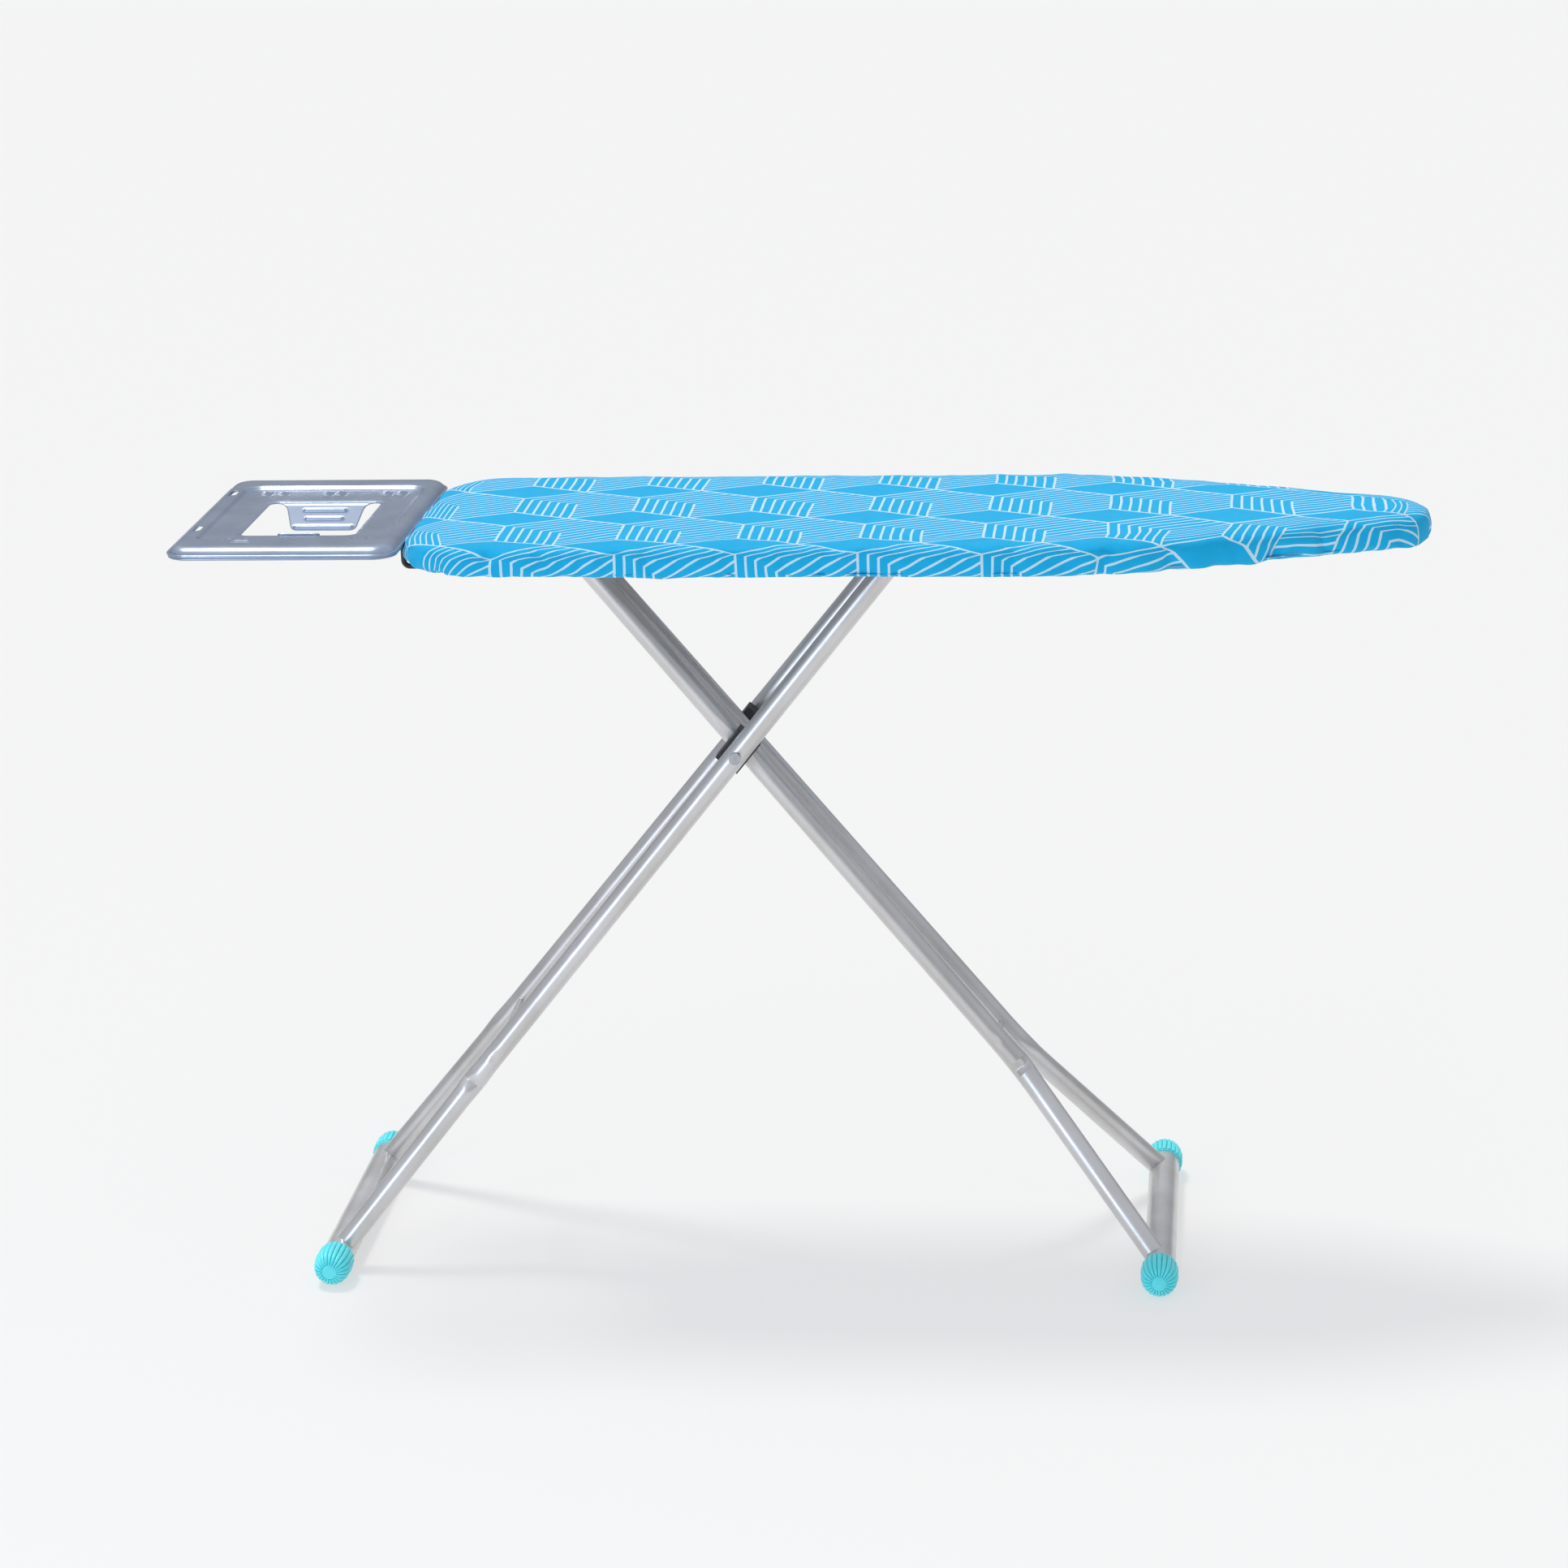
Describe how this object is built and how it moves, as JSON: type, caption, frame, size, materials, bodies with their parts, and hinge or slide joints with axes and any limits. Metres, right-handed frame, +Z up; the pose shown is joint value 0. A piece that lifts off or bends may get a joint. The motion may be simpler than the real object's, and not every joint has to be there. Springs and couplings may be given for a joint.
{
  "type": "ironing board",
  "caption": "Free-standing ironing board: padded cover on a steel plate, folding scissor legs of bent tube with capped foot bars, and a pressed steel iron rest at the tail.",
  "frame": {"origin": "middle of the object's footprint box, on the floor", "axes": "+X from the iron rest to the nose, +Y to the far side, +Z up"},
  "size_m": [1.4, 0.412, 0.883],
  "materials": {
    "cover_cotton": "cotton print, light satin",
    "felt_pad": "matt felt",
    "elastic": "braided",
    "silver_paint": "silver paint, satin",
    "board_steel": "silver-grey paint, satin",
    "zinc_steel": "bright zinc",
    "rest_steel": "blue-grey metallic, pressed",
    "black_wire": "black gloss coat",
    "turquoise_plastic": "moulded, semi-gloss",
    "black_plastic": "moulded, matt"
  },
  "bodies": {
    "board": {"cover": "cover_cotton", "pad": "felt_pad", "hem_elastic": "elastic", "top_plate": "board_steel", "hinge_bracket_front": "board_steel", "hinge_bracket_rear": "board_steel", "hinge_rod": "zinc_steel", "hinge_rod_caps": "zinc_steel", "height_rail_front": "board_steel", "height_rail_rear": "board_steel", "bracket_rivets": "zinc_steel", "rail_rivets": "zinc_steel", "lever_pivot_bolt": "zinc_steel", "lever_pivot_nut": "zinc_steel", "lever_bracket": "board_steel", "lever_spring": "zinc_steel", "rest_wire": "black_wire", "wire_clips": "black_wire", "iron_rest": "rest_steel"},
    "inner_leg": {"inner_tube_front": "silver_paint", "inner_tube_rear": "silver_paint", "inner_hinge_sleeve": "silver_paint", "inner_tie_rod": "silver_paint", "inner_foot_bar": "silver_paint", "inner_foot_cap_front": "turquoise_plastic", "inner_foot_cap_rear": "turquoise_plastic"},
    "outer_leg": {"outer_tube_front": "silver_paint", "outer_tube_rear": "silver_paint", "outer_top_tube": "silver_paint", "slide_bar": "zinc_steel", "slide_bar_caps": "black_plastic", "outer_tie_rod": "silver_paint", "outer_foot_bar": "silver_paint", "outer_foot_cap_front": "turquoise_plastic", "outer_foot_cap_rear": "turquoise_plastic", "crossing_rod": "zinc_steel", "crossing_rod_heads": "zinc_steel", "spacer_front": "black_plastic", "spacer_rear": "black_plastic"},
    "lever": {"release_lever": "zinc_steel", "lever_grip": "black_plastic"}
  },
  "joints": [
    {"name": "leg_fold", "type": "hinge", "parent": "board", "child": "inner_leg", "pos_m": [-0.27, 0, 0.845], "axis": [0, -1, 0], "range_deg": [0, 47.5]},
    {"name": "leg_crossing", "type": "hinge", "parent": "inner_leg", "child": "outer_leg", "pos_m": [-0.078, 0, 0.61], "axis": [0, -1, 0], "range_deg": [-95, 0]},
    {"name": "lever_release", "type": "hinge", "parent": "board", "child": "lever", "pos_m": [0.044, -0.0885, 0.855], "axis": [0, -1, 0], "range_deg": [0, 4.5], "stiffness_Nm_per_rad": 1, "springref_deg": -17.19}
  ],
  "couplings": [
    {"joint": "leg_crossing", "follows": "leg_fold", "ratio": -2}
  ]
}
